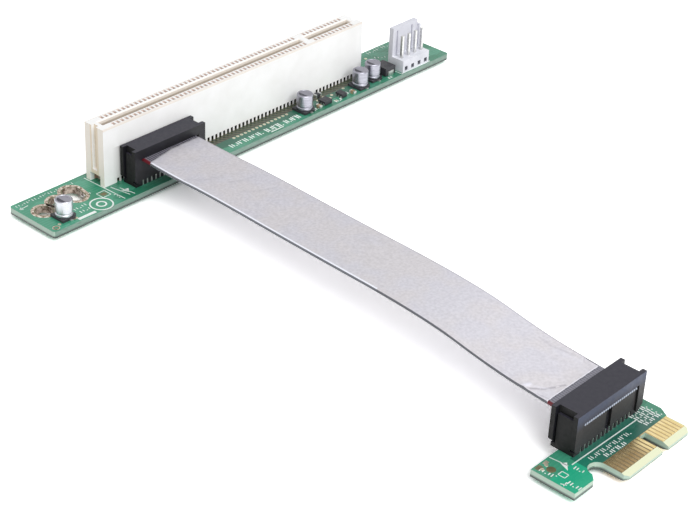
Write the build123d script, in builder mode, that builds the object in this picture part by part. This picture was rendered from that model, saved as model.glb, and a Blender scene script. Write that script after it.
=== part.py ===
"""Riser: a slot board and an edge-finger board joined by a screened flat ribbon lead.

Millimetres, +Z up. The origin is the middle of the footprint on the surface that the
soldered pin tails stand on. +X runs along the slot board, and the lead leaves it toward -Y.
"""
import os
from math import atan2, hypot, tan

from build123d import *

os.makedirs("parts", exist_ok=True)

# Boards
board_thickness = 1.6
tail_length = 1.0
slot_board_length = 131.4
slot_board_width = 15.4
board_gap = 122.4
board_corner = 0.8

# Card slot: contacts stand on both sides of the card slit
contact_pitch = 1.27
slot_positions = 62
key_positions = (50, 51)
slot_shift = -2.35
slot_near_margin = 7.4
slot_width = 6.16
slot_height = 14.34
slot_overhang_left = 4.05
slot_overhang_right = 3.4
slit_width = 1.85
slit_depth = 9.0
slit_past_left = 2.1
slit_past_right = 1.5
slit_lead_in = 0.25
key_width = 1.78
rail_width = 0.425
rail_height = 2.5
cavity_width = 0.75
cavity_length = 1.3
comb_height = 1.1
end_groove_width = 1.5
end_groove_depth = 0.8
end_block_height = 3.3
foot_gap_width = 3.4
foot_gap_height = 2.3
foot_gap_length = 1.8

# Slot contacts, from the tail up to the spring knee and the tip
contact_width = 0.5
contact_thickness = 0.26
contact_gap = 1.44
tail_row_inner = 1.55
tail_row_outer = 2.4
contact_knee_drop = 4.0
contact_tip_drop = 1.2
contact_tip_reach = 2.0

# Ribbon lead and its foil screen
conductor_pitch = 0.635
conductors = 26
ribbon_thickness = 0.7
ribbon_height = 6.55
screen_wall = 0.15
screen_start = 2.4
screen_end = 2.9

# Ribbon connectors: a base with its tails, and a cover that clamps the ribbon
connector_length = 21.4
slot_connector_width = 4.9
edge_connector_width = 6.0
connector_height = 9.2
slot_connector_shift = -29.95
slot_connector_margin = 2.1
edge_connector_shift = -39.15
edge_connector_overlap = 2.2
post_width = 2.0
post_clearance = 0.1
post_chamfer = 0.9
base_setback = 0.4
foot_plate_height = 0.9
foot_plate_inset = 0.5
latch_channel_depth = 1.2
latch_cheek = 1.0
latch_clearance = 0.3
latch_thickness = 0.6
latch_height = 7.7
panel_gap_width = 1.7
panel_gap_depth = 0.5
tail_slot_width = 0.6
tail_slot_depth = 0.5
tail_slot_height = 1.3
connector_tail_width = 0.4
connector_tail_thickness = 0.3

# Edge board, from its far left corner
edge_board_depth = 13.6
edge_board_length = 32.5
edge_board_left = -57.55
stub_width = 6.8
stub_depth = 9.9
stub_chamfer = 1.2
relief_width = 4.0
relief_root = 6.6
tab_length = 20.3
tab_corner = 0.8
bevel_length = 1.3
bevel_height = 0.45
shoulder_start = 6.0
shoulder_drop = 2.35
key_notch_middle = 12.15
key_notch_width = 1.9
key_notch_depth = 5.3

# Power header
header_pins = 4
header_pitch = 2.5
header_from_end = 12.65
header_margin = 0.4
header_length = 10.0
header_base_depth = 5.1
header_base_height = 3.25
header_wall = 1.3
header_height = 10.9
header_pin_size = 0.64
header_pin_height = 9.4
header_pin_setback = 1.75
header_groove_width = 0.5
header_groove_depth = 0.4
header_groove_low = 3.0
header_groove_high = 10.0
header_groove_places = (-3.4, 2.1)
header_notch_width = 0.8
header_rib_width = 0.7
header_rib_depth = 0.6
header_rib_height = 9.6
pocket_size = 1.1
pocket_depth = 1.0
pocket_low = 0.45

# Electrolytic capacitors: can, square base and two leads each
can_diameter = 4.0
can_top = 4.5
cap_base_side = 4.3
cap_base_height = 0.6
cap_base_chamfer = 0.8
cap_lead_width = 0.65
cap_lead_reach = 0.5
cap_lead_height = 0.3
left_capacitor = (5.95, 3.8)
right_capacitors = ((50.6, 3.3), (31.0, 2.95), (25.5, 3.8))

# Small packages stand on bent leads, and chips on their end caps. They are placed from
# the slot board's right end and near edge
package_lift = 0.1
lead_thickness = 0.2
diode_place = (20.75, 3.95)
diode_length = 3.6
diode_width = 4.2
diode_height = 2.2
diode_lead_width = 1.9
diode_lead_top = 1.3
diode_foot = 1.0
regulator_place = (44.3, 2.4)
regulator_length = 2.6
driver_place = (38.6, 2.3)
driver_length = 1.7
package_width = 2.3
package_height = 1.1
package_lead_pitch = 0.8
package_leads = 3
package_lead_width = 0.4
package_lead_top = 0.55
package_foot = 0.4
chip_places = ((47.15, 1.75), (35.3, 1.4))
chip_length = 1.6
chip_width = 0.85
chip_height = 0.75
chip_end = 0.35
inductor_place = (43.25, 6.1)
inductor_length = 2.0
inductor_width = 1.25
inductor_height = 0.9
inductor_end = 0.4

# Mounting holes of the slot board, from its left end and near edge
mounting_hole = 4.0
mounting_places = ((4.4, 8.7), (9.2, 9.9))
oblong_middle = (13.8, 10.1)
oblong_end = (14.0, 11.3)

# Levels and edges that the pieces share
board_bottom = tail_length
board_top = board_bottom + board_thickness
overall_depth = slot_board_width + board_gap + edge_board_depth
slot_board_back = overall_depth / 2
slot_board_front = slot_board_back - slot_board_width
slot_board_left = -slot_board_length / 2
slot_board_right = slot_board_length / 2
slot_y = slot_board_front + slot_near_margin + slot_width / 2
slot_top = board_top + slot_height
slit_floor = slot_top - slit_depth
rail_bottom = slot_top - rail_height
cavity_inner = slit_width / 2 + rail_width
cavity_outer = cavity_inner + cavity_length
edge_board_back = slot_board_front - board_gap
edge_board_front = edge_board_back - edge_board_depth
edge_board_right = edge_board_left + edge_board_length
tab_left = edge_board_left + stub_width + relief_width
tab_right = tab_left + tab_length
slot_connector_y = slot_board_front + slot_connector_margin + slot_connector_width / 2
edge_connector_y = edge_board_back + edge_connector_overlap - edge_connector_width / 2
header_x = slot_board_right - header_from_end
header_y = slot_board_front + header_margin
ribbon_width = conductor_pitch * conductors
ribbon_z = board_top + ribbon_height
ribbon_seat = ribbon_z - ribbon_thickness / 2
base_length = connector_length - 2 * (post_width + post_clearance)

# The lead's route in its own upright plane, by hand: the distance from the far face of
# the slot connector, and the height above the level that both connectors clamp it at
lead_route = (
    (0.0, 0.0),
    (13.5, 0.0),
    (28.0, 1.05),
    (55.0, 1.5),
    (92.0, 2.65),
    (110.5, 0.3),
    (122.3, 0.0),
)


def save(piece, name):
    """Labels a finished piece and writes its file."""
    piece.part.label = name
    export_step(piece.part, f"parts/{name}.step")
    print(f"{name:26s} {len(piece.part.solids()):4d} solids {piece.part.volume:10.2f} mm3")


def contact_x(position):
    """The middle of a slot position, counted from 1 at the left."""
    return slot_shift + (position - (slot_positions + 1) / 2) * contact_pitch


contacts_x = [contact_x(i) for i in range(1, slot_positions + 1) if i not in key_positions]
outer_row_x = contacts_x[0::2]
inner_row_x = contacts_x[1::2]
slot_left = contact_x(1) - slot_overhang_left
slot_right = contact_x(slot_positions) + slot_overhang_right
slot_length = slot_right - slot_left
slot_x = (slot_left + slot_right) / 2
key_x = (contact_x(key_positions[0]) + contact_x(key_positions[1])) / 2


def slot_tail_places():
    """The tails of the slot contacts: an outer and an inner row on each side of the slit."""
    rows = ((outer_row_x, tail_row_outer), (inner_row_x, tail_row_inner))
    return [(x, slot_y + side * row) for side in (-1, 1) for places, row in rows for x in places]


def connector_tail_places(x, y, width):
    """Points along both faces of a connector's base, half a step apart from face to face."""
    reach = width / 2 - base_setback - tail_slot_depth / 2
    return [
        (x + (i - (conductors - 1) / 2) * conductor_pitch, y + (reach if i % 2 else -reach))
        for i in range(conductors)
    ]


def header_pin_places():
    """The pins of the power header."""
    first = header_x - (header_pins - 1) / 2 * header_pitch
    return [(first + i * header_pitch, header_y + header_pin_setback) for i in range(header_pins)]


def on_slot_board(place):
    """A point given from the slot board's left end and near edge."""
    return slot_board_left + place[0], slot_board_front + place[1]


def from_right_end(places):
    """Points given from the slot board's right end and near edge."""
    return [(slot_board_right - along, slot_board_front + across) for along, across in places]


def capacitor_centres():
    return [on_slot_board(left_capacitor)] + from_right_end(right_capacitors)


def connector_tail_holes(x, y, width):
    """Cuts the holes of a ribbon connector's tails from the sketch at work."""
    with Locations(*connector_tail_places(x, y, width)):
        Rectangle(connector_tail_width, connector_tail_thickness, mode=Mode.SUBTRACT)


def make_slot_board():
    with BuildPart() as slot_board:
        with BuildSketch(Plane.XY.offset(board_bottom)) as outline:
            with Locations((0, slot_board_front + slot_board_width / 2)):
                Rectangle(slot_board_length, slot_board_width)
            fillet(outline.vertices(), radius=board_corner)
            with Locations(*[on_slot_board(place) for place in mounting_places]):
                Circle(mounting_hole / 2, mode=Mode.SUBTRACT)
            SlotCenterPoint(
                on_slot_board(oblong_middle), on_slot_board(oblong_end), mounting_hole, mode=Mode.SUBTRACT
            )
            with Locations(*slot_tail_places()):
                Rectangle(contact_width, contact_thickness, mode=Mode.SUBTRACT)
            with Locations(*header_pin_places()):
                Rectangle(header_pin_size, header_pin_size, mode=Mode.SUBTRACT)
            connector_tail_holes(slot_connector_shift, slot_connector_y, slot_connector_width)
        extrude(amount=board_thickness)
    return slot_board


def make_cavities(side):
    """The contact cavities on one side of the slit: a window at the top, a comb slot at the foot."""
    outline = (
        (cavity_inner, slot_top),
        (cavity_outer, slot_top),
        (cavity_outer, board_top + comb_height),
        (slot_width / 2, board_top + comb_height),
        (slot_width / 2, board_top),
        (cavity_inner, board_top),
    )
    with BuildPart() as cavities:
        with BuildSketch(Plane.YZ.offset(slot_left)):
            with BuildLine():
                Polyline(*[(slot_y + side * across, z) for across, z in outline], close=True)
            make_face()
        extrude(amount=slot_length)
        with BuildSketch(Plane.XY):
            with Locations(*[(x, slot_y) for x in contacts_x]):
                Rectangle(cavity_width, slot_width)
        extrude(amount=slot_top, mode=Mode.INTERSECT)
    return cavities.part


def slit_stretches():
    """The slit's two stretches, before and after the key, as their middle and length."""
    ends = (
        (contact_x(1) - slit_past_left, key_x - key_width / 2),
        (key_x + key_width / 2, contact_x(slot_positions) + slit_past_right),
    )
    return [((start + end) / 2, end - start) for start, end in ends]


def make_slot_housing():
    with BuildPart() as slot_housing:
        with BuildSketch(Plane.XY.offset(board_top)):
            with Locations((slot_x, slot_y)):
                Rectangle(slot_length, slot_width)
        extrude(amount=slot_height)
        with BuildSketch(Plane.XY.offset(slot_top)):
            for middle, length in slit_stretches():
                with Locations((middle, slot_y)):
                    Rectangle(length, slit_width)
        extrude(amount=-slit_depth, mode=Mode.SUBTRACT)
        rims = slot_housing.faces().sort_by(Axis.Z)[-1].inner_wires()
        chamfer([edge for rim in rims for edge in rim.edges()], length=slit_lead_in)
        # Below the rails the slit widens to the cavities, so that the springs reach the card
        with BuildSketch(Plane.XY.offset(slit_floor)):
            for middle, length in slit_stretches():
                with Locations((middle, slot_y)):
                    Rectangle(length, 2 * cavity_inner)
        extrude(amount=slit_depth - rail_height, mode=Mode.SUBTRACT)
        for side in (-1, 1):
            add(make_cavities(side), mode=Mode.SUBTRACT)
        # A groove down each end, and a gap between the feet below it
        with BuildSketch(Plane.XY.offset(slot_top)):
            with Locations((slot_left, slot_y), (slot_right, slot_y)):
                Rectangle(2 * end_groove_depth, end_groove_width)
        extrude(amount=end_block_height - slot_height, mode=Mode.SUBTRACT)
        with BuildSketch(Plane.XY.offset(board_top)):
            with Locations((slot_left, slot_y), (slot_right, slot_y)):
                Rectangle(2 * foot_gap_length, foot_gap_width)
        extrude(amount=foot_gap_height, mode=Mode.SUBTRACT)
    return slot_housing


def contact_outline(side, row):
    """A slot contact seen from the slot's end: tail, shoulder, knee against the card, sharp tip."""
    spine = (
        (row, 0),
        (row, slit_floor),
        ((contact_gap + contact_thickness) / 2, slot_top - contact_knee_drop),
    )
    inner = [(slot_y + side * (across - contact_thickness / 2), z) for across, z in spine]
    outer = [(slot_y + side * (across + contact_thickness / 2), z) for across, z in spine]
    tip = (slot_y + side * contact_tip_reach, slot_top - contact_tip_drop)
    return inner + [tip] + outer[::-1]


def make_contact_row(side, row, places):
    """One row of contacts: the outline drawn out along the slot and kept at each place."""
    with BuildPart() as contact_row:
        with BuildSketch(Plane.YZ.offset(slot_left)):
            with BuildLine():
                Polyline(*contact_outline(side, row), close=True)
            make_face()
        extrude(amount=slot_length)
        with BuildSketch(Plane.XY):
            with Locations(*[(x, slot_y) for x in places]):
                Rectangle(contact_width, slot_width)
        extrude(amount=slot_top, mode=Mode.INTERSECT)
    return contact_row.part


def make_slot_contacts(side):
    with BuildPart() as slot_contacts:
        add(make_contact_row(side, tail_row_outer, outer_row_x))
        add(make_contact_row(side, tail_row_inner, inner_row_x))
    return slot_contacts


def make_connector_base(x, y, width):
    """The part of a ribbon connector that stands on its board and holds the tails."""
    base_width = width - 2 * base_setback
    latch_width = width - 2 * (latch_cheek + latch_clearance)
    foot_length = connector_length - 2 * foot_plate_inset
    latch_reach = (foot_length - latch_thickness) / 2
    with BuildPart() as base:
        with BuildSketch(Plane.XY.offset(board_top)):
            with Locations((x, y)):
                Rectangle(foot_length, base_width)
        extrude(amount=foot_plate_height)
        with BuildSketch(Plane.XY.offset(board_top)):
            with Locations((x, y)):
                Rectangle(base_length, base_width)
        extrude(amount=ribbon_seat - board_top)
        with BuildSketch(Plane.XY.offset(board_top)):
            with Locations((x - latch_reach, y), (x + latch_reach, y)):
                Rectangle(latch_thickness, latch_width)
        extrude(amount=latch_height)
        with BuildSketch(Plane.XY.offset(ribbon_seat)):
            with Locations((x, y - base_width / 2), (x, y + base_width / 2)):
                Rectangle(panel_gap_width, 2 * panel_gap_depth)
        extrude(amount=board_top + foot_plate_height - ribbon_seat, mode=Mode.SUBTRACT)
        with BuildSketch(Plane.XY.offset(board_top)):
            with Locations(*connector_tail_places(x, y, width)):
                Rectangle(tail_slot_width, tail_slot_depth)
        extrude(amount=tail_slot_height, mode=Mode.SUBTRACT)
    return base


def make_connector_cover(x, y, width):
    """The clamp over the ribbon: a bar with a post at each end, channelled for the latches."""
    post_reach = (connector_length - post_width) / 2
    post_bottom = board_top + foot_plate_height
    with BuildPart() as cover:
        with BuildSketch(Plane.XY.offset(ribbon_z + ribbon_thickness / 2)):
            with Locations((x, y)):
                Rectangle(connector_length, width)
        extrude(amount=board_top + connector_height - ribbon_z - ribbon_thickness / 2)
        with BuildSketch(Plane.XY.offset(post_bottom)):
            with Locations((x - post_reach, y), (x + post_reach, y)):
                Rectangle(post_width, width)
        extrude(amount=board_top + connector_height - post_bottom)
        toes = cover.faces().sort_by(Axis.Z)[:2].edges().filter_by(Axis.Y).sort_by(Axis.X)
        chamfer((toes[0], toes[-1]), length=post_chamfer)
        with BuildSketch(Plane.XY.offset(post_bottom)):
            with Locations((x - connector_length / 2, y), (x + connector_length / 2, y)):
                Rectangle(2 * latch_channel_depth, width - 2 * latch_cheek)
        extrude(amount=connector_height, mode=Mode.SUBTRACT)
    return cover


def make_connector_tails(x, y, width):
    """The soldered tails, one for each conductor, in the slots along the foot of the base."""
    with BuildPart() as tails:
        with BuildSketch(Plane.XY):
            with Locations(*connector_tail_places(x, y, width)):
                Rectangle(connector_tail_width, connector_tail_thickness)
        extrude(amount=board_top + tail_slot_height)
    return tails


def edge_board_outline():
    """Draws the edge board's outline, clockwise from its far left corner."""
    left, right = edge_board_left, edge_board_right
    back, front = edge_board_back, edge_board_front
    stub_right = left + stub_width
    stub_front = back - stub_depth
    root = back - relief_root - relief_width / 2
    shoulder = back - shoulder_start
    Polyline(
        (tab_left, root),
        (tab_left, front + tab_corner),
        (tab_left + tab_corner, front),
        (tab_right - tab_corner, front),
        (tab_right, front + tab_corner),
        (tab_right, shoulder - shoulder_drop),
        (right, shoulder),
        (right, back),
        (left, back),
        (left, stub_front),
        (stub_right - stub_chamfer, stub_front),
        (stub_right, stub_front + stub_chamfer),
        (stub_right, root),
    )
    RadiusArc((stub_right, root), (tab_left, root), relief_width / 2)


def make_edge_board():
    with BuildPart() as edge_board:
        with BuildSketch(Plane.XY.offset(board_bottom)):
            with BuildLine():
                edge_board_outline()
            make_face()
            with Locations((tab_left + key_notch_middle, edge_board_front)):
                Rectangle(key_notch_width, 2 * key_notch_depth, mode=Mode.SUBTRACT)
            connector_tail_holes(edge_connector_shift, edge_connector_y, edge_connector_width)
        extrude(amount=board_thickness)
        # Both faces of the tab slope off at its outer edge
        with BuildSketch(Plane.YZ.offset(tab_left)):
            for level, slope in ((board_bottom, bevel_height), (board_top, -bevel_height)):
                with BuildLine():
                    Polyline(
                        (edge_board_front, level),
                        (edge_board_front + bevel_length, level),
                        (edge_board_front, level + slope),
                        close=True,
                    )
                make_face()
        extrude(amount=tab_length, mode=Mode.SUBTRACT)
    return edge_board


def route_plane():
    """The lead's upright plane: from the slot connector's far face toward the edge connector."""
    run_x = edge_connector_shift - slot_connector_shift
    run_y = edge_connector_y - slot_connector_y
    past = slot_connector_width / 2
    start = (slot_connector_shift + run_x / run_y * past, slot_connector_y + past, ribbon_z)
    return Plane(origin=start, x_dir=(run_x, run_y, 0), z_dir=(run_y, -run_x, 0))


def lead_length():
    """The plan length of the ribbon, from face to face of the two connectors."""
    run_x = edge_connector_shift - slot_connector_shift
    run_y = slot_connector_y - edge_connector_y
    past_both = (slot_connector_width + edge_connector_width) / 2
    return hypot(run_x, run_y) * (run_y + past_both) / run_y


def corner_radii(points):
    """Each corner's arc takes up 0.45 of the shorter of its two runs."""
    radii = []
    for before, corner, after in zip(points, points[1:], points[2:]):
        run_in = hypot(corner[0] - before[0], corner[1] - before[1])
        run_out = hypot(after[0] - corner[0], after[1] - corner[1])
        heading_in = atan2(corner[1] - before[1], corner[0] - before[0])
        heading_out = atan2(after[1] - corner[1], after[0] - corner[0])
        turn = abs(heading_out - heading_in)
        radii.append(0.45 * min(run_in, run_out) / tan(turn / 2))
    return radii


def make_band(width, thickness):
    """A band that follows the lead's route, its sides upright and its ends square to the boards."""
    points = lead_route + ((lead_length(), 0.0),)
    with BuildPart() as band:
        with BuildSketch(route_plane()):
            with BuildLine():
                FilletPolyline(*points, radius=corner_radii(points))
            trace(line_width=thickness)
        extrude(amount=width / 2, dir=(1, 0, 0), both=True)
    return band.part


def make_ribbon_cable():
    with BuildPart() as ribbon_cable:
        add(make_band(ribbon_width, ribbon_thickness))
    return ribbon_cable


def make_cable_screen():
    """The foil sleeve round the ribbon, open for a few millimetres before each connector."""
    start = slot_connector_y - slot_connector_width / 2 - screen_start
    end = edge_connector_y + edge_connector_width / 2 + screen_end
    with BuildPart() as cable_screen:
        add(make_band(ribbon_width + 2 * screen_wall, ribbon_thickness + 2 * screen_wall))
        add(make_band(ribbon_width, ribbon_thickness), mode=Mode.SUBTRACT)
        with BuildSketch(Plane.XY):
            with Locations((slot_connector_shift, (start + end) / 2)):
                Rectangle(2 * ribbon_width + 2 * connector_length, start - end)
        extrude(amount=2 * ribbon_z, mode=Mode.INTERSECT)
    return cable_screen


def make_power_header():
    wall_y = header_y + header_base_depth - header_wall
    right = header_x + header_length / 2
    with BuildPart() as power_header:
        with BuildSketch(Plane.XY.offset(board_top)):
            with Locations((header_x, header_y)):
                Rectangle(header_length, header_base_depth, align=(Align.CENTER, Align.MIN))
        extrude(amount=header_base_height)
        with BuildSketch(Plane.XY.offset(board_top)):
            with Locations((header_x, wall_y)):
                Rectangle(header_length, header_wall, align=(Align.CENTER, Align.MIN))
        extrude(amount=header_height)
        with BuildSketch(Plane.XY.offset(board_top)):
            with Locations((right, wall_y - header_rib_depth)):
                Rectangle(header_rib_width, header_rib_depth, align=(Align.MAX, Align.MIN))
        extrude(amount=header_rib_height)
        with BuildSketch(Plane.XY.offset(board_top + header_groove_low)):
            with Locations(*[(header_x + place, wall_y) for place in header_groove_places]):
                Rectangle(header_groove_width, 2 * header_groove_depth)
        extrude(amount=header_groove_high - header_groove_low, mode=Mode.SUBTRACT)
        with BuildSketch(Plane.XY.offset(board_top + header_height)):
            with Locations((right, wall_y)):
                Rectangle(header_notch_width, header_wall, align=(Align.MAX, Align.MIN))
        extrude(amount=header_rib_height - header_height, mode=Mode.SUBTRACT)
        with BuildSketch(Plane.XY.offset(board_top + pocket_low)):
            with Locations(*[(x, header_y) for x, _ in header_pin_places()]):
                Rectangle(pocket_size, 2 * pocket_depth)
        extrude(amount=pocket_size, mode=Mode.SUBTRACT)
        with BuildSketch(Plane.XY.offset(board_top)):
            with Locations(*header_pin_places()):
                Rectangle(header_pin_size, header_pin_size)
        extrude(amount=header_base_height, mode=Mode.SUBTRACT)
    return power_header


def make_header_pins():
    with BuildPart() as header_pin_row:
        with BuildSketch(Plane.XY):
            with Locations(*header_pin_places()):
                Rectangle(header_pin_size, header_pin_size)
        extrude(amount=board_top + header_pin_height)
        tips = header_pin_row.faces().filter_by(Axis.Z).group_by(Axis.Z)[-1]
        chamfer(tips.edges(), length=header_pin_size / 4)
    return header_pin_row


def make_capacitor_cans():
    with BuildPart() as capacitor_cans:
        with BuildSketch(Plane.XY.offset(board_top + cap_base_height)):
            with Locations(*capacitor_centres()):
                Circle(can_diameter / 2)
        extrude(amount=can_top - cap_base_height)
    return capacitor_cans


def make_capacitor_bases():
    with BuildPart() as capacitor_bases:
        with BuildSketch(Plane.XY.offset(board_top)) as outline:
            with Locations(*capacitor_centres()):
                Rectangle(cap_base_side, cap_base_side)
            for square in outline.faces():
                chamfer(square.vertices().group_by(Axis.X)[-1], length=cap_base_chamfer)
        extrude(amount=cap_base_height)
    return capacitor_bases


def make_capacitor_leads():
    reach = (cap_base_side + cap_lead_reach) / 2
    centres = capacitor_centres()
    with BuildPart() as capacitor_leads:
        with BuildSketch(Plane.XY.offset(board_top)):
            with Locations(*[(x, y + side * reach) for x, y in centres for side in (-1, 1)]):
                Rectangle(cap_lead_width, cap_lead_reach)
        extrude(amount=cap_lead_height)
    return capacitor_leads


def make_body(place, length, width, height):
    """A small moulded body, a little above the board."""
    with BuildPart() as body:
        with BuildSketch(Plane.XY.offset(board_top + package_lift)):
            with Locations(*from_right_end((place,))):
                Rectangle(length, width)
        extrude(amount=height - package_lift)
    return body


def lead_outline(reach, top, foot, side):
    """A bent lead on one side of a body: a strap down its end and a foot turned in under it."""
    outline = (
        (reach + lead_thickness, 0),
        (reach + lead_thickness, top),
        (reach, top),
        (reach, package_lift),
        (reach - foot, package_lift),
        (reach - foot, 0),
    )
    Polyline(*[(side * across, rise) for across, rise in outline], close=True)


def make_diode_leads():
    x, y = from_right_end((diode_place,))[0]
    with BuildPart() as diode_leads:
        with BuildSketch(Plane((x - diode_lead_width / 2, y, board_top), (0, 1, 0), (1, 0, 0))):
            for side in (-1, 1):
                with BuildLine():
                    lead_outline(diode_width / 2, diode_lead_top, diode_foot, side)
                make_face()
        extrude(amount=diode_lead_width)
    return diode_leads


def make_package_leads(place, length):
    """Three leads on the left and three on the right of a small package."""
    x, y = from_right_end((place,))[0]
    first = y - (package_leads - 1) / 2 * package_lead_pitch
    with BuildPart() as leads:
        for i in range(package_leads):
            near = first + i * package_lead_pitch + package_lead_width / 2
            with BuildSketch(Plane((x, near, board_top), (1, 0, 0), (0, -1, 0))):
                for side in (-1, 1):
                    with BuildLine():
                        lead_outline(length / 2, package_lead_top, package_foot, side)
                    make_face()
            extrude(amount=package_lead_width)
    return leads


def make_chips():
    """Chip parts between their end caps, lying across the board."""
    with BuildPart() as chips:
        with BuildSketch(Plane.XY.offset(board_top)):
            with Locations(*from_right_end(chip_places)):
                Rectangle(chip_width, chip_length - 2 * chip_end)
        extrude(amount=chip_height)
    return chips


def make_chip_ends():
    reach = (chip_length - chip_end) / 2
    places = from_right_end(chip_places)
    with BuildPart() as chip_ends:
        with BuildSketch(Plane.XY.offset(board_top)):
            with Locations(*[(x, y + side * reach) for x, y in places for side in (-1, 1)]):
                Rectangle(chip_width, chip_end)
        extrude(amount=chip_height)
    return chip_ends


def make_inductor():
    """The chip inductor that lies along the foot of the slot."""
    with BuildPart() as inductor:
        with BuildSketch(Plane.XY.offset(board_top)):
            with Locations(*from_right_end((inductor_place,))):
                Rectangle(inductor_length - 2 * inductor_end, inductor_width)
        extrude(amount=inductor_height)
    return inductor


def make_inductor_ends():
    reach = (inductor_length - inductor_end) / 2
    x, y = from_right_end((inductor_place,))[0]
    with BuildPart() as inductor_ends:
        with BuildSketch(Plane.XY.offset(board_top)):
            with Locations((x - reach, y), (x + reach, y)):
                Rectangle(inductor_end, inductor_width)
        extrude(amount=inductor_height)
    return inductor_ends


save(make_slot_board(), "slot_board")
save(make_slot_housing(), "slot_housing")
save(make_slot_contacts(-1), "slot_contacts_near")
save(make_slot_contacts(1), "slot_contacts_far")

for label, place in (
    ("slot_connector", (slot_connector_shift, slot_connector_y, slot_connector_width)),
    ("edge_connector", (edge_connector_shift, edge_connector_y, edge_connector_width)),
):
    save(make_connector_base(*place), f"{label}_base")
    save(make_connector_cover(*place), f"{label}_cover")
    save(make_connector_tails(*place), f"{label}_tails")

save(make_ribbon_cable(), "ribbon_cable")
save(make_cable_screen(), "cable_screen")
save(make_edge_board(), "edge_board")

save(make_power_header(), "power_header_housing")
save(make_header_pins(), "power_header_pins")

save(make_capacitor_cans(), "capacitor_cans")
save(make_capacitor_bases(), "capacitor_bases")
save(make_capacitor_leads(), "capacitor_leads")

save(make_body(diode_place, diode_length, diode_width, diode_height), "diode_body")
save(make_diode_leads(), "diode_leads")
for label, place, length in (
    ("regulator", regulator_place, regulator_length),
    ("driver", driver_place, driver_length),
):
    save(make_body(place, length, package_width, package_height), f"{label}_body")
    save(make_package_leads(place, length), f"{label}_leads")

save(make_chips(), "chip_bodies")
save(make_chip_ends(), "chip_ends")
save(make_inductor(), "inductor_body")
save(make_inductor_ends(), "inductor_ends")

route = lead_route + ((lead_length(), 0.0),)
print("route radii", [round(radius, 1) for radius in corner_radii(route)])
print("lead length in plan", round(lead_length(), 2))
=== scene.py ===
import math

import bmesh
import bpy
from mathutils import Matrix, Vector, noise


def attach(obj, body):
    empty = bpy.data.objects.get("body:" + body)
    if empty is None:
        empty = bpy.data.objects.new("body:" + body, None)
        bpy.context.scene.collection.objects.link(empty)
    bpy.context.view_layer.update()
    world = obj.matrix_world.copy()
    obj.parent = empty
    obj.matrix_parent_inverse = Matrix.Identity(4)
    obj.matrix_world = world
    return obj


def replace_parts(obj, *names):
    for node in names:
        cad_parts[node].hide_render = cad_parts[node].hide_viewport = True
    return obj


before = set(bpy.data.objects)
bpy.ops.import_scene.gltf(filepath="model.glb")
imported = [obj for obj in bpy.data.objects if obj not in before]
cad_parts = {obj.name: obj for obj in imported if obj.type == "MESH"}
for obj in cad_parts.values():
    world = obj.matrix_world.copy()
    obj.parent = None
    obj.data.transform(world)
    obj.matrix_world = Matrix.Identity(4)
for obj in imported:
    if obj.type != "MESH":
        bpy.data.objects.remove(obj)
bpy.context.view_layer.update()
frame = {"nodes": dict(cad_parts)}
nodes = frame["nodes"]

MM = 0.001

# Levels, places and sizes, in millimetres
BOARD_TOP = 2.6
BOARD_UNDER = 1.0
BOTH_FACES = ((BOARD_TOP, BOARD_TOP + 0.04), (BOARD_UNDER, BOARD_UNDER - 0.04))
LEAD_START = Vector((-29.7736, 67.3, 9.15))
LEAD_RUN = Vector((-9.2, -127.75, 0.0)).normalized()
LEAD_WIDTH = 16.51
CONDUCTORS = 26
CONDUCTOR_PITCH = LEAD_WIDTH / CONDUCTORS
SLEEVE_START = 60.0
SLEEVE_END = -57.0
CONNECTOR_FACE = -65.9
PIN_PITCH = 1.27
SLOT_MIDDLE = 70.78
SLOT_TOP = 16.94


# Colours, and materials made of nodes

def rgb(red, green, blue):
    """A colour as it is seen, 0 to 255, as the linear values that a shader takes."""
    values = []
    for part in (red, green, blue):
        part = part / 255
        values.append(part / 12.92 if part <= 0.04045 else ((part + 0.055) / 1.055) ** 2.4)
    return (*values, 1.0)


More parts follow.
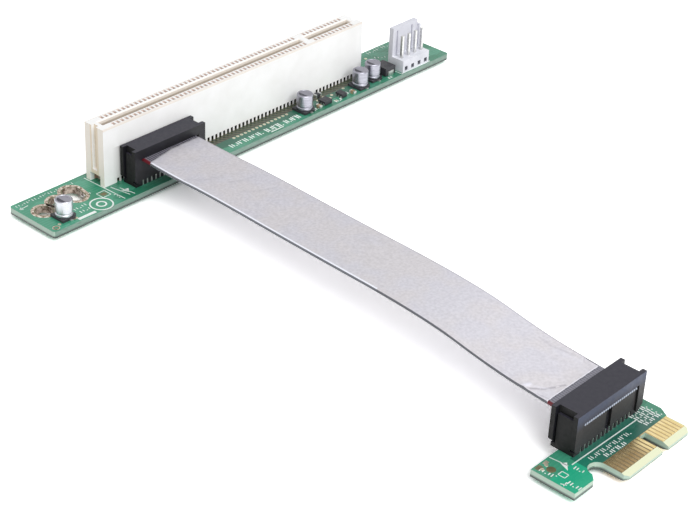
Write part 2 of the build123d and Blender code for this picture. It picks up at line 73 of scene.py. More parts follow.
class Look:
    """A node material in the making. Places are in millimetres in the object's frame."""

    def __init__(self, name, metallic=0.0, specular=0.5, coat=0.0):
        self.material = bpy.data.materials.new(name)
        self.material.use_nodes = True
        self.tree = self.material.node_tree
        self.shader = self.tree.nodes["Principled BSDF"]
        self.shader.inputs["Metallic"].default_value = metallic
        self.shader.inputs["Specular IOR Level"].default_value = specular
        self.shader.inputs["Coat Weight"].default_value = coat
        self.shader.inputs["Coat Roughness"].default_value = 0.25
        place = self.tree.nodes.new("ShaderNodeTexCoord").outputs["Object"]
        scale = self.tree.nodes.new("ShaderNodeVectorMath")
        scale.operation = "SCALE"
        scale.inputs["Scale"].default_value = 1000.0
        self.tree.links.new(place, scale.inputs[0])
        self.place = scale.outputs[0]
        split = self.tree.nodes.new("ShaderNodeSeparateXYZ")
        self.tree.links.new(self.place, split.inputs[0])
        self.x, self.y, self.z = split.outputs
        facing = self.tree.nodes.new("ShaderNodeSeparateXYZ")
        geometry = self.tree.nodes.new("ShaderNodeNewGeometry")
        self.tree.links.new(geometry.outputs["Normal"], facing.inputs[0])
        self.facing = facing.outputs

    def put(self, value, socket):
        if isinstance(value, bpy.types.NodeSocket):
            self.tree.links.new(value, socket)
        else:
            socket.default_value = value

    def math(self, operation, first, second=0.0, clamp=False):
        node = self.tree.nodes.new("ShaderNodeMath")
        node.operation = operation
        node.use_clamp = clamp
        self.put(first, node.inputs[0])
        self.put(second, node.inputs[1])
        return node.outputs[0]

    def above(self, first, second):
        return self.math("GREATER_THAN", first, second)

    def below(self, first, second):
        return self.math("LESS_THAN", first, second)

    def rise(self, first, second, length):
        """0 where first is below second, up to 1 where it is a length above it."""
        return self.math("DIVIDE", self.math("SUBTRACT", first, second), length, clamp=True)

    def mix(self, factor, first, second):
        node = self.tree.nodes.new("ShaderNodeMix")
        node.data_type = "RGBA"
        self.put(factor, node.inputs[0])
        self.put(first, node.inputs[6])
        self.put(second, node.inputs[7])
        return node.outputs[2]

    def tinted(self, colour, where, share, paint):
        """The colour with a share of the paint, where the mask is 1."""
        return self.mix(self.math("MULTIPLY", where, share), colour, paint)

    def stretched(self, along):
        """The place, multiplied by along where that is given."""
        if along is None:
            return self.place
        node = self.tree.nodes.new("ShaderNodeVectorMath")
        node.operation = "MULTIPLY"
        self.tree.links.new(self.place, node.inputs[0])
        node.inputs[1].default_value = along
        return node.outputs[0]

    def noise(self, scale, detail=3.0, along=None):
        node = self.tree.nodes.new("ShaderNodeTexNoise")
        node.inputs["Scale"].default_value = scale
        node.inputs["Detail"].default_value = detail
        self.tree.links.new(self.stretched(along), node.inputs["Vector"])
        return node.outputs["Fac"]

    def cells(self, scale, along=None):
        node = self.tree.nodes.new("ShaderNodeTexVoronoi")
        node.inputs["Scale"].default_value = scale
        self.tree.links.new(self.stretched(along), node.inputs["Vector"])
        return node

    def ramp(self, value, *stops):
        node = self.tree.nodes.new("ShaderNodeValToRGB")
        self.put(value, node.inputs[0])
        while len(node.color_ramp.elements) < len(stops):
            node.color_ramp.elements.new(0.5)
        for element, (place, colour) in zip(node.color_ramp.elements, stops):
            element.position = place
            element.color = colour if isinstance(colour, tuple) else (colour, colour, colour, 1.0)
        return node.outputs[0]

    def mottle(self, scale, detail, low, high, along=None):
        """Noise that runs from one colour or value to another."""
        return self.ramp(self.noise(scale, detail, along), (0.3, low), (0.7, high))

    def painted(self, name):
        """A value from 0 to 1 stored on the mesh's points."""
        node = self.tree.nodes.new("ShaderNodeAttribute")
        node.attribute_name = name
        return node.outputs["Fac"]

    def both(self, first, *others):
        """The product of masks: 1 where all of them are."""
        for other in others:
            first = self.math("MULTIPLY", first, other)
        return first

    def across_lead(self):
        """How far a place is from the lead's middle line, in millimetres."""
        back = self.math("SUBTRACT", LEAD_START.y, self.y)
        drift = self.math("MULTIPLY", back, LEAD_RUN.x / LEAD_RUN.y)
        return self.math("ADD", self.math("SUBTRACT", self.x, LEAD_START.x), drift)

    def inside(self, value, low, high):
        """1 where the value is between low and high, 0 elsewhere."""
        return self.math("MULTIPLY", self.above(value, low), self.below(value, high))

    def finish(self, colour, roughness, height, strength, distance):
        """Distance is how deep the bump is, in millimetres."""
        self.put(colour, self.shader.inputs["Base Color"])
        self.put(roughness, self.shader.inputs["Roughness"])
        bump = self.tree.nodes.new("ShaderNodeBump")
        bump.inputs["Strength"].default_value = strength
        bump.inputs["Distance"].default_value = distance * MM
        self.put(height, bump.inputs["Height"])
        self.tree.links.new(bump.outputs["Normal"], self.shader.inputs["Normal"])
        return self.material


def moulded(name, dark, light, rough_low, rough_high, grain=6.0, strength=0.25):
    """Moulded plastic: a faint mottle, fine grain in its bump, and uneven gloss."""
    look = Look(name)
    colour = look.mottle(0.35, 4.0, dark, light)
    gloss = look.mottle(1.1, 3.0, rough_low, rough_high)
    return look.finish(colour, gloss, look.noise(grain, 2.0), strength, 0.03)


def streaked_metal(
    name, dark, light, rough_low, rough_high, along=(1.0, 1.0, 1.0), grain=2.0, strength=0.2
):
    """Plated or drawn metal: streaks along one direction and a slightly uneven surface."""
    look = Look(name, metallic=1.0)
    colour = look.ramp(look.noise(grain, 4.0, along), (0.3, dark), (0.72, light))
    gloss = look.mottle(grain * 2, 3.0, rough_low, rough_high, along)
    return look.finish(colour, gloss, look.noise(grain * 3, 2.0, along), strength, 0.02)


def solder_mask():
    """Green mask on the board. Copper tracks and pours lie under it, and laminate shows on the
    edges.

    The darker and lighter areas of the green, the brown band beside the slot, the lighter edges
    facing -X and the dark foot of the edges are painted light and shade.
    """
    look = Look("solder_mask", coat=0.25)
    parts = look.tree.nodes.new("ShaderNodeSeparateColor")
    look.tree.links.new(look.cells(0.22, (1.0, 1.6, 1.0)).outputs["Color"], parts.inputs[0])
    patch = look.above(parts.outputs[0], 0.45)
    shifted = look.math("ADD", look.y, look.math("MULTIPLY", patch, 0.3))
    wave = look.math("SINE", look.math("MULTIPLY", shifted, 7.4))
    track = look.both(look.above(wave, 0.25), look.below(parts.outputs[1], 0.5))
    green = look.mix(patch, rgb(44, 126, 96), rgb(66, 148, 118))
    green = look.tinted(green, track, 0.4, rgb(88, 166, 140))
    green = look.tinted(green, look.noise(1.4, 5.0), 0.45, rgb(30, 88, 70))
    shaded = look.both(look.inside(look.y, 62.9, 66.0), look.inside(look.x, -19.0, 41.0))
    green = look.tinted(green, shaded, 0.7, rgb(24, 78, 62))
    # painted light: the long board's left end is lighter
    outer = look.rise(-43.0, look.x, 4.0)
    green = look.tinted(green, outer, 0.3, rgb(64, 172, 136))
    # painted light: a brighter green on the small board's left part
    stub = look.both(look.below(look.y, -66.4), look.below(look.x, -47.0))
    green = look.tinted(green, stub, 0.7, rgb(14, 180, 138))
    # painted shade on the small board in front of the edge connector
    front = look.both(look.inside(look.y, -70.3, -65.2), look.inside(look.x, -50.0, -27.5))
    green = look.tinted(green, front, 0.65, rgb(16, 80, 74))
    # painted shade under the slot housing's overhang: brown, with slanted strokes at the pin pitch
    # as painted reflections of the contacts
    slant = look.math("MULTIPLY", look.x, 2 * math.pi / PIN_PITCH)
    slant = look.math("ADD", slant, look.math("MULTIPLY", look.y, 3.0))
    strokes = look.above(look.math("SINE", slant), 0.35)
    overhang_shade = look.mix(strokes, rgb(50, 42, 34), rgb(100, 84, 64))
    beside_slot = look.both(look.inside(look.y, 65.4, 74.0), look.inside(look.x, -19.0, 41.0))
    green = look.tinted(green, beside_slot, 0.85, overhang_shade)
    weave = look.math("MULTIPLY", look.math("SINE", look.math("MULTIPLY", look.z, 38.0)), 0.5)
    layers = look.noise(2.2, 4.0, (0.3, 0.3, 3.0))
    layers = look.math("ADD", layers, look.math("MULTIPLY", weave, 0.12))
    laminate = look.ramp(layers, (0.25, rgb(92, 122, 108)), (0.75, rgb(134, 164, 150)))
    pale = look.both(look.below(look.y, -60.0), look.above(look.z, 1.7))
    laminate = look.tinted(laminate, pale, 0.7, rgb(206, 228, 208))
    # painted shade along the foot of every board edge
    low = look.rise(1.62, look.z, 0.3)
    # painted light: laminate edges that face -X are lighter
    left = look.below(look.facing[0], -0.6)
    laminate = look.tinted(laminate, left, 0.6, rgb(190, 214, 198))
    laminate = look.tinted(laminate, low, 0.92, rgb(34, 42, 40))
    drilled = look.both(look.inside(look.x, -63.9, -49.2), look.inside(look.y, 66.5, 74.2))
    # mottled brown and pale stain on the laminate in the drilled area
    stain_and_shade = look.ramp(look.noise(1.3, 4.0), (0.38, rgb(88, 68, 52)), (0.62, rgb(206, 190, 176)))
    laminate = look.mix(drilled, laminate, stain_and_shade)
    flat = look.above(look.math("ABSOLUTE", look.facing[2]), 0.9)
    colour = look.mix(flat, laminate, green)
    tab = look.both(look.below(look.y, -70.15), look.above(look.x, -47.2))
    bare = look.mottle(1.0, 4.0, rgb(212, 212, 160), rgb(228, 229, 180))
    colour = look.mix(look.both(tab, flat), colour, bare)
    fingers = look.both(look.inside(look.y, -74.4, -70.15), look.inside(look.x, -46.8, -26.7), flat)
    bed = look.mix(look.below(look.x, -35.0), rgb(190, 164, 114), rgb(114, 92, 58))
    colour = look.tinted(colour, fingers, 0.9, bed)
    sloping = look.inside(look.math("ABSOLUTE", look.facing[2]), 0.3, 0.98)
    colour = look.mix(look.both(tab, sloping), colour, rgb(228, 232, 198))
    height = look.math("ADD", look.math("MULTIPLY", track, 0.6), look.math("MULTIPLY", patch, 0.5))
    height = look.math("MULTIPLY", height, look.math("SUBTRACT", 1.0, tab))
    height = look.math("ADD", height, look.math("MULTIPLY", look.noise(7.0, 2.0), 0.35))
    gloss = look.mottle(0.9, 3.0, 0.3, 0.42)
    return look.finish(colour, gloss, height, 0.35, 0.03)


def white_housing():
    """The slot's white moulding, with its shade painted in.

    The shade grows warmer and deeper down its windows and slit, is nearly black between its foot's
    teeth, lies down the middle of its ends, which are a warmer white, and beside the ribbon
    connector it makes the moulding a little darker.
    """
    look = Look("slot_plastic", specular=0.45)
    colour = look.mottle(0.2, 4.0, rgb(243, 243, 242), rgb(251, 251, 251))
    off = look.math("ABSOLUTE", look.math("SUBTRACT", look.y, SLOT_MIDDLE))
    # painted shade in the windows and slit, warmer and darker with depth below the top
    deep = look.rise(SLOT_TOP, look.z, 2.0)
    uneven = look.math("MULTIPLY", look.math("SUBTRACT", look.noise(1.5, 3.0), 0.5), 0.1)
    deep = look.math("ADD", deep, uneven)
    slit = look.ramp(
        deep, (0.0, rgb(250, 245, 240)), (0.36, rgb(242, 234, 224)), (0.5, rgb(204, 192, 178))
    )
    window = look.ramp(
        deep, (0.0, rgb(248, 238, 231)), (0.25, rgb(236, 214, 202)), (0.6, rgb(182, 150, 132))
    )
    recess_shade = look.mix(look.below(off, 1.05), window, slit)
    cavity = look.both(look.below(off, 2.75), look.below(look.z, 16.85))
    cavity = look.both(cavity, look.inside(look.x, -44.0, 38.7))
    colour = look.mix(cavity, colour, recess_shade)
    # painted shade down the middle of the end faces, on a warmer white
    past = look.math("SUBTRACT", 1.0, look.inside(look.x, -44.2, 38.7))
    past = look.both(past, look.above(look.math("ABSOLUTE", look.facing[0]), 0.7))
    end = look.mix(look.below(off, 1.3), rgb(252, 244, 234), rgb(238, 222, 200))
    colour = look.mix(past, colour, end)
    rim = look.both(look.above(look.z, 16.5), look.above(off, 2.8))
    colour = look.tinted(colour, rim, 0.5, rgb(236, 220, 202))
    # painted shade on the housing wall beside the ribbon connector
    connector_shade = look.rise(look.x, -42.6, 2.0)
    connector_shade = look.both(connector_shade, look.below(look.x, -39.0), look.below(look.y, 67.8))
    connector_shade = look.both(connector_shade, look.below(look.z, 11.6))
    colour = look.tinted(colour, connector_shade, 0.3, rgb(110, 102, 90))
    # painted shade, nearly black, between the teeth of the foot
    gap = look.both(look.below(look.z, 3.95), look.below(off, 2.95))
    gap = look.both(gap, look.inside(look.x, -43.0, 38.4))
    colour = look.mix(gap, colour, rgb(22, 19, 16))
    gloss = look.mottle(0.8, 3.0, 0.4, 0.55)
    return look.finish(colour, gloss, look.noise(5.0, 3.0), 0.15, 0.03)


def connector_plastic():
    """Black moulding, with painted light and shade: lighter tops, darker ends that are also duller,
    and a lighter near face that turns bluish.
    """
    look = Look("connector_plastic", specular=0.36)
    colour = look.mottle(0.35, 4.0, rgb(16, 16, 20), rgb(25, 25, 32))
    # painted shade on the ends
    end = look.above(look.math("ABSOLUTE", look.facing[0]), 0.8)
    colour = look.mix(end, colour, rgb(10, 10, 11))
    # painted highlight on the tops
    top = look.above(look.facing[2], 0.8)
    colour = look.tinted(colour, top, 0.75, rgb(51, 50, 61))
    # painted light on the near face, turning bluish towards its top
    near = look.both(look.below(look.y, -65.3), look.below(look.facing[1], -0.5))
    fall = look.rise(look.z, 8.4, 2.4)
    colour = look.mix(near, colour, look.mix(fall, rgb(52, 50, 53), rgb(68, 75, 96)))
    gloss = look.mottle(1.1, 3.0, 0.42, 0.56)
    gloss = look.math("ADD", gloss, look.math("MULTIPLY", end, 0.2))
    return look.finish(colour, gloss, look.noise(7.0, 2.0), 0.25, 0.03)


def ribbon_jacket():
    """Grey insulation: a painted highlight on each conductor's ridge, painted shade in the webs
    between, painted light past the sleeve's end, and a red edge conductor.
    """
    look = Look("ribbon_jacket", specular=0.4)
    across = look.across_lead()
    turns = look.math("MULTIPLY", across, 2 * math.pi * CONDUCTORS / LEAD_WIDTH)
    # painted highlight on each ridge and painted shade in the webs, with a mottle
    ridge = look.math("SINE", turns)
    stain_and_shade = look.math("ADD", ridge, look.noise(1.2, 4.0, (3.0, 0.6, 1.0)))
    shade = look.math("MULTIPLY", stain_and_shade, 0.5, clamp=True)
    grey = look.ramp(shade, (0.2, rgb(32, 30, 42)), (0.62, rgb(138, 136, 147)))
    # painted light on the bare part past the sleeve
    beyond = look.below(look.y, -56.5)
    grey = look.tinted(grey, beyond, 0.3, rgb(196, 196, 210))
    colour = look.mix(look.below(across, -7.6), grey, rgb(112, 26, 38))
    gloss = look.mottle(1.5, 3.0, 0.35, 0.5)
    return look.finish(colour, gloss, look.noise(4.0, 2.0), 0.2, 0.03)


def foil():
    """Aluminium tape: matte grey, with painted light and shade: lighter towards the small board, a
    highlight along its near edge, a darker lip, a dark near side, and lines along its folds, dark
    in the valleys and light on the crests.
    """
    look = Look("screen_foil", metallic=0.35, specular=0.4)
    across = look.across_lead()
    # painted light that grows towards the small board
    along = look.rise(SLEEVE_START, look.y, SLEEVE_START - SLEEVE_END)
    grey = look.ramp(
        along, (0.0, rgb(192, 189, 195)), (0.55, rgb(204, 202, 207)), (1.0, rgb(229, 226, 232))
    )
    grain = look.ramp(look.noise(1.6, 6.0), (0.32, rgb(176, 174, 180)), (0.68, rgb(238, 236, 242)))
    colour = look.mix(0.3, grey, grain)
    tint = look.ramp(look.noise(0.12, 2.0), (0.4, rgb(216, 208, 206)), (0.6, rgb(206, 207, 224)))
    colour = look.mix(0.2, colour, tint)
    # painted highlight along the near edge, from the start to the middle
    strip = look.both(look.below(across, -7.85), look.above(look.y, -12.0))
    colour = look.tinted(colour, strip, 0.85, rgb(244, 246, 255))
    # painted shade along the far lip
    lip = look.inside(across, 7.72, 7.95)
    colour = look.tinted(colour, lip, 0.5, rgb(140, 138, 146))
    # painted shade in the fold valleys and painted highlights on their crests
    colour = look.tinted(colour, look.painted("valley"), 0.8, rgb(128, 124, 136))
    colour = look.mix(look.painted("crest"), colour, rgb(240, 240, 252))
    cut = look.below(look.y, -56.75)
    colour = look.tinted(colour, cut, 0.8, rgb(244, 244, 252))
    # painted shade on the side facing -X
    edge = look.below(look.facing[0], -0.75)
    colour = look.tinted(colour, edge, 0.9, rgb(74, 78, 84))
    gloss = look.mottle(0.5, 4.0, 0.5, 0.62)
    return look.finish(colour, gloss, look.noise(1.2, 5.0), 0.16, 0.07)


def finger_plating():
    """Gold plating, painted darker and browner on the left fingers, as they look in the photo."""
    look = Look("finger_gold", metallic=1.0)
    streaks = look.noise(2.0, 4.0, (2.0, 0.3, 1.0))
    colour = look.ramp(streaks, (0.3, rgb(228, 202, 138)), (0.72, rgb(252, 234, 182)))
    inward = look.rise(-37.0, look.x, 3.0)
    tip = look.rise(-71.6, look.y, 0.8)
    colour = look.tinted(colour, inward, 0.45, rgb(150, 118, 84))
    colour = look.tinted(colour, look.both(inward, tip), 0.5, rgb(140, 112, 80))
    gloss = look.mottle(4.0, 3.0, 0.2, 0.32)
    return look.finish(colour, gloss, look.noise(6.0, 2.0), 0.03, 0.02)


def can_metal():
    """Drawn aluminium, with painted light and shade: the flat tops darker, and a highlight on the
    side of the leftmost can.
    """
    look = Look("can_aluminium", metallic=1.0)
    drawn = (0.3, 0.3, 2.0)
    streaks = look.noise(2.0, 4.0, drawn)
    colour = look.ramp(streaks, (0.3, rgb(148, 148, 158)), (0.72, rgb(182, 182, 192)))
    # painted shade on the flat tops
    top = look.both(look.above(look.facing[2], 0.9), look.above(look.z, 7.0))
    colour = look.tinted(colour, top, 0.7, rgb(146, 144, 155))
    # painted highlight on the side of the leftmost can
    outer = look.both(look.below(look.x, -50.0), look.below(look.facing[2], 0.9))
    colour = look.tinted(colour, outer, 0.6, rgb(226, 229, 234))
    gloss = look.mottle(4.0, 3.0, 0.26, 0.38, drawn)
    return look.finish(colour, gloss, look.noise(6.0, 2.0), 0.15, 0.02)


def header_nylon():
    """Bluish white nylon: a toned back wall, and painted shade down in the foot's pockets."""
    look = Look("header_plastic", specular=0.45)
    colour = look.mottle(0.35, 4.0, rgb(212, 214, 222), rgb(232, 233, 240))
    wall = look.both(look.above(look.z, 6.2), look.above(look.y, 63.4))
    colour = look.tinted(colour, wall, 0.6, rgb(212, 212, 222))
    # painted shade down in the foot's pockets
    pocket = look.both(look.inside(look.y, 60.75, 61.75), look.below(look.z, 5.6))
    pocket = look.both(pocket, look.inside(look.x, 48.2, 57.9))
    colour = look.mix(pocket, colour, rgb(138, 140, 150))
    gloss = look.mottle(1.1, 3.0, 0.4, 0.55)
    return look.finish(colour, gloss, look.noise(5.0, 2.0), 0.15, 0.03)


def mottled_pad():
    """Plated ring that has been soldered on: pale metal with brown flux in patches."""
    look = Look("ring_metal", metallic=0.3, specular=0.4)
    patches = look.noise(1.5, 5.0)
    colour = look.ramp(
        patches, (0.4, rgb(118, 96, 76)), (0.52, rgb(204, 188, 172)), (0.66, rgb(232, 224, 216))
    )
    gloss = look.mottle(2.0, 3.0, 0.35, 0.6)
    return look.finish(colour, gloss, look.noise(3.0, 3.0), 0.4, 0.06)


mask = solder_mask()
plastic_white = white_housing()
plastic_black = connector_plastic()
gold = streaked_metal(
    "contact_gold", rgb(226, 200, 136), rgb(250, 232, 180), 0.07, 0.15,
    along=(2.0, 0.3, 1.0), strength=0.03
)
tin = streaked_metal("tinned_metal", rgb(196, 196, 194), rgb(232, 232, 230), 0.28, 0.45)
jacket = ribbon_jacket()
foil_look = foil()
nylon = header_nylon()
finger_gold = finger_plating()
aluminium = can_metal()
moulding = moulded(
    "black_moulding", rgb(37, 37, 41), rgb(58, 58, 64), 0.4, 0.6, grain=9.0, strength=0.4
)
ceramic = moulded("chip_ceramic", rgb(150, 124, 98), rgb(184, 158, 128), 0.4, 0.6, grain=8.0)
print_white = moulded(
    "print_ink", rgb(216, 228, 222), rgb(242, 246, 244), 0.5, 0.7, grain=12.0, strength=0.3
)
print_dark = moulded("print_dark", rgb(44, 44, 54), rgb(66, 66, 78), 0.4, 0.55)
solder = streaked_metal(
    "solder_alloy", rgb(160, 160, 162), rgb(206, 206, 208), 0.26, 0.44, grain=1.6
)
ring_metal = mottled_pad()
end_metal = moulded("conductor_end", rgb(150, 158, 176), rgb(190, 198, 216), 0.3, 0.5, grain=9.0)
pad = streaked_metal("bare_pad", rgb(204, 196, 172), rgb(232, 226, 206), 0.35, 0.5, grain=3.0)
pad_brown = moulded("flux_stain", rgb(88, 84, 58), rgb(128, 122, 88), 0.35, 0.55, grain=5.0)

LOOK_OF_NODE = {
    "slot_board": mask,
    "edge_board": mask,
    "slot_housing": plastic_white,
    "slot_contacts_near": gold,
    "slot_contacts_far": gold,
    "power_header_housing": nylon,
    "power_header_pins": tin,
    "capacitor_bases": moulding,
    "capacitor_leads": tin,
    "diode_body": moulding,
    "diode_leads": tin,
    "regulator_body": moulding,
    "regulator_leads": tin,
    "driver_body": moulding,
    "driver_leads": tin,
    "chip_bodies": ceramic,
    "chip_ends": tin,
    "inductor_body": moulding,
    "inductor_ends": tin,
}
for end in ("slot_connector", "edge_connector"):
    LOOK_OF_NODE[f"{end}_base"] = plastic_black
    LOOK_OF_NODE[f"{end}_cover"] = plastic_black
    LOOK_OF_NODE[f"{end}_tails"] = tin
for name, look in LOOK_OF_NODE.items():
    nodes[name].data.materials.clear()
    nodes[name].data.materials.append(look)


# Meshes in millimetres, set down as pieces that ride with the part

def linked(name, data):
    """An object of the scene that holds the data."""
    made = bpy.data.objects.new(name, data)
    bpy.context.scene.collection.objects.link(made)
    return made


def piece(name, mesh, look, smooth=False):
    """Links a mesh made in millimetres as a piece of the part."""
    bmesh.ops.scale(mesh, vec=(MM, MM, MM), verts=mesh.verts)
    bmesh.ops.recalc_face_normals(mesh, faces=mesh.faces)
    data = bpy.data.meshes.new(name)
    mesh.to_mesh(data)
    mesh.free()
    data.materials.append(look)
    if smooth:
        data.shade_smooth()
    made = linked(name, data)
    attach(made, "root")
    return made


def loops(mesh, rings, closed=False):
    """Skins a row of point loops of equal length, closed round or with its ends capped."""
    rows = [[mesh.verts.new(point) for point in ring] for ring in rings]
    count = len(rows[0])
    pairs = list(zip(rows, rows[1:]))
    if closed:
        pairs.append((rows[-1], rows[0]))
    for low, high in pairs:
        for k in range(count):
            after = (k + 1) % count
            mesh.faces.new((low[k], low[after], high[after], high[k]))
    if not closed:
        mesh.faces.new(list(reversed(rows[0])))
        mesh.faces.new(rows[-1])
    return rows


def slab(mesh, outline, low, high, inset=0.0):
    """A flat plate on an outline, its upper edge drawn in by inset."""
    middle = Vector((sum(p[0] for p in outline), sum(p[1] for p in outline))) / len(outline)
    upper = []
    for x, y in outline:
        away = Vector((x, y)) - middle
        reach = max(away.length, 1e-6)
        upper.append(middle + away * max(0.0, 1 - inset / reach))
    level = high - abs(inset) * (1 if high > low else -1)
    rings = [[(x, y, low) for x, y in outline], [(x, y, level) for x, y in outline]]
    rings.append([(p[0], p[1], high) for p in upper])
    loops(mesh, rings)


def bar(mesh, start, end, width, low, high, inset=0.004):
    """A straight printed line or plate from start to end, with short corners."""
    start, end = Vector(start), Vector(end)
    run = (end - start).normalized()
    side = Vector((-run.y, run.x)) * width / 2
    cut = min(width, 0.2) * 0.3
    outline = []
    for point, away in ((start, -1), (end, 1)):
        for turn in ((-1, 1) if away < 0 else (1, -1)):
            corner = point + side * turn
            inner = corner - side.normalized() * turn * cut
            pulled = corner - run * away * cut
            outline += [pulled, inner] if (turn > 0) == (away > 0) else [inner, pulled]
    slab(mesh, [(p.x, p.y) for p in outline], low, high, inset)


def oval(centre, run, radius, count=40):
    """Points round a hole whose middle line goes from centre - run to centre + run."""
    centre, run = Vector(centre), Vector(run)
    turn = math.atan2(run.y, run.x) if run.length > 0 else 0.0
    points = []
    for k in range(count):
        angle = 2 * math.pi * (k + 0.5) / count
        local = Vector((math.cos(angle), math.sin(angle))) * radius
        end = run if math.cos(angle) > 0 else -run
        local.rotate(Matrix.Rotation(turn, 2))
        points.append(centre + end + local)
    return points


def washer(mesh, centre, run, inner, outer, levels):
    """A ring with a rounded edge between two levels, round or oblong."""
    low, high = levels
    soft = min(0.03, abs(high - low) * 0.5)
    sign = 1 if high > low else -1
    profile = ((inner, low), (outer, low), (outer, high - sign * soft), (outer - soft, high))
    profile += ((inner + soft, high), (inner, high - sign * soft))
    rings = [[(p.x, p.y, z) for p in oval(centre, run, radius)] for radius, z in profile]
    loops(mesh, rings, closed=True)


def turned(mesh, centre, profile, count=32):
    """A body turned about an upright axis, from (radius, height) pairs upward."""
    x, y = centre
    rings = []
    for radius, z in profile:
        ring = []
        for k in range(count):
            angle = 2 * math.pi * k / count
            ring.append((x + radius * math.cos(angle), y + radius * math.sin(angle), z))
        rings.append(ring)
    loops(mesh, rings)


def feet(name):
    """The middle of each foot of a node that reaches the lowest level, in millimetres."""
    groups = []
    for vertex in nodes[name].data.vertices:
        point = vertex.co / MM
        if point.z > 0.05:
            continue
        for group in groups:
            if max(abs(point.x - group[0].x), abs(point.y - group[0].y)) < 0.7:
                group.append(point)
                break
        else:
            groups.append([point])
    return [sum(group, Vector()) / len(group) for group in groups]


# Ribbon lead: a spline on the route's points, the band and its foil sleeve along it

LEAD_ROUTE = (
    # points as (along the lead, rise)
    (0.0, 0.0),
    (13.5, 0.0),
    (28.0, 1.05),
    (55.0, 1.5),
    (92.0, 2.65),
    (110.5, 0.3),
    (122.3, 0.0),
    (133.54, 0.0),
)


def lead_line():
    """The lead's middle line, read from a smooth spline on the route's points, in millimetres."""
    curve = bpy.data.curves.new("lead_route", "CURVE")
    curve.dimensions = "3D"
    curve.resolution_u = 60
    spline = curve.splines.new("NURBS")
    spline.points.add(len(LEAD_ROUTE) - 1)
    for point, (along, rise) in zip(spline.points, LEAD_ROUTE):
        place = (LEAD_START + LEAD_RUN * along + Vector((0, 0, rise))) * MM
        point.co = (*place, 1.0)
    spline.order_u = 3
    spline.use_endpoint_u = True
    holder = linked("lead_route", curve)
    bpy.context.view_layer.update()
    data = bpy.data.meshes.new_from_object(holder)
    line = [v.co / MM for v in data.vertices]
    bpy.data.meshes.remove(data)
    bpy.data.objects.remove(holder)
    bpy.data.curves.remove(curve)
    return line


lead = lead_line()


def lead_frames(line):
    """Each point with the direction across the band and the one out of its upper face."""
    across = Vector((1.0, 0.0, 0.0))
    frames = []
    for k, point in enumerate(line):
        run = (line[min(k + 1, len(line) - 1)] - line[max(k - 1, 0)]).normalized()
        rise = across.cross(run)
        rise = rise.normalized() if rise.z > 0 else -rise.normalized()
        frames.append((point, across, rise))
    return frames


def between(low, high):
    """The frames whose y lies between two places along the lead."""
    return [f for f in lead_frames(lead) if low <= f[0].y <= high]


BAND_HALF = 0.35
RIDGE = ((0.04, 0.6), (0.25, 0.86), (0.5, 1.0), (0.75, 0.86), (0.96, 0.6))


def band_outline():
    """The ridged section of a ribbon: one round ridge a conductor, thin webs between."""
    upper = []
    for k in range(CONDUCTORS):
        for step, height in RIDGE:
            upper.append((-LEAD_WIDTH / 2 + CONDUCTOR_PITCH * (k + step), BAND_HALF * height))
    lower = [(u, -h) for u, h in reversed(upper)]
    return upper + lower


def make_ribbon():
    mesh = bmesh.new()
    outline = band_outline()
    rings = []
    for point, across, rise in lead_frames(lead)[::3]:
        rings.append([point + across * u + rise * h for u, h in outline])
    loops(mesh, rings)
    return piece("ribbon_band", mesh, jacket)


SLEEVE_WIDTH = 16.6
SLEEVE_HEIGHT = 0.94
FAINT_FOLD = 0.042  # a fold less deep than this gets no painted shade line
FOLDS = (
    # points as (across the lead, y in the frame), half width, height, below 0 where it goes down
    (((-6.7, -8.0), (-6.8, -17.2), (-6.83, -28.2), (-7.06, -39.0), (-7.3, -49.5)), 0.18, -0.05),
    (((-7.85, -31.8), (-7.9, -39.8), (-7.2, -49.3)), 0.16, -0.05),
    (((-7.7, -52.3), (-5.8, -54.4), (-1.9, -56.2)), 0.42, -0.1),
    (((-8.6, -50.7), (-6.8, -51.5)), 0.45, 0.14),
    (((-8.6, -51.3), (-7.9, -54.9), (-7.4, -57.0)), 0.22, -0.08),
    (((-6.6, -52.6), (-5.2, -54.9)), 0.3, 0.07),
    (((5.9, -43.7), (5.7, -46.9), (6.9, -51.7)), 0.7, -0.06),
    (((5.2, -48.6), (6.0, -53.7)), 0.7, 0.04),
    (((8.0, -53.2), (6.9, -54.2)), 0.3, -0.08),
    (((-7.6, 48.2), (-3.9, 44.9), (-0.6, 43.6)), 1.3, -0.055),
    (((-1.2, 40.4), (1.8, 38.7), (4.9, 38.4)), 1.3, -0.055),
    (((-2.1, 35.4), (0.9, 32.9), (4.2, 31.6)), 1.2, -0.055),
    (((4.6, 27.7), (8.4, 28.6)), 1.1, -0.045),
    (((-6.3, 21.7), (-5.6, 17.0), (-6.1, 13.5)), 1.1, -0.045),
)


def fold_lift(across, along):
    """The folds' lift at a place on the sleeve's upper face, down and up apart."""
    down, up = 0.0, 0.0
    here = Vector((across, along))
    for points, half, depth in FOLDS:
        gap = 1e9
        for start, end in zip(points, points[1:]):
            start, end = Vector(start), Vector(end)
            run = end - start
            t = max(0.0, min(1.0, (here - start).dot(run) / run.length_squared))
            gap = min(gap, (here - start - run * t).length)
        share = math.exp(-((gap / half) ** 2))
        if depth < 0:
            down = min(down, depth * share)
        else:
            up = max(up, depth * share)
    return down, up


def sleeve_outline():
    """The sleeve's flat section: points across it, with which face each is on."""
    half, thick = SLEEVE_WIDTH / 2, SLEEVE_HEIGHT / 2
    round_off = thick * 0.9
    flat = 2 * (half - round_off)
    upper, lower = 92, 30
    outline = [(-half + round_off + flat * k / upper, thick, 1) for k in range(upper + 1)]
    for angle in (60, 30, 0, -30, -60):
        turn = math.radians(angle)
        outline.append((half - round_off + round_off * math.cos(turn), thick * math.sin(turn), 0))
    outline += [(half - round_off - flat * k / lower, -thick, -1) for k in range(lower + 1)]
    for angle in (240, 210, 180, 150, 120):
        turn = math.radians(angle)
        outline.append((-half + round_off + round_off * math.cos(turn), thick * math.sin(turn), 0))
    return outline


def unit(value):
    return max(0.0, min(1.0, value))


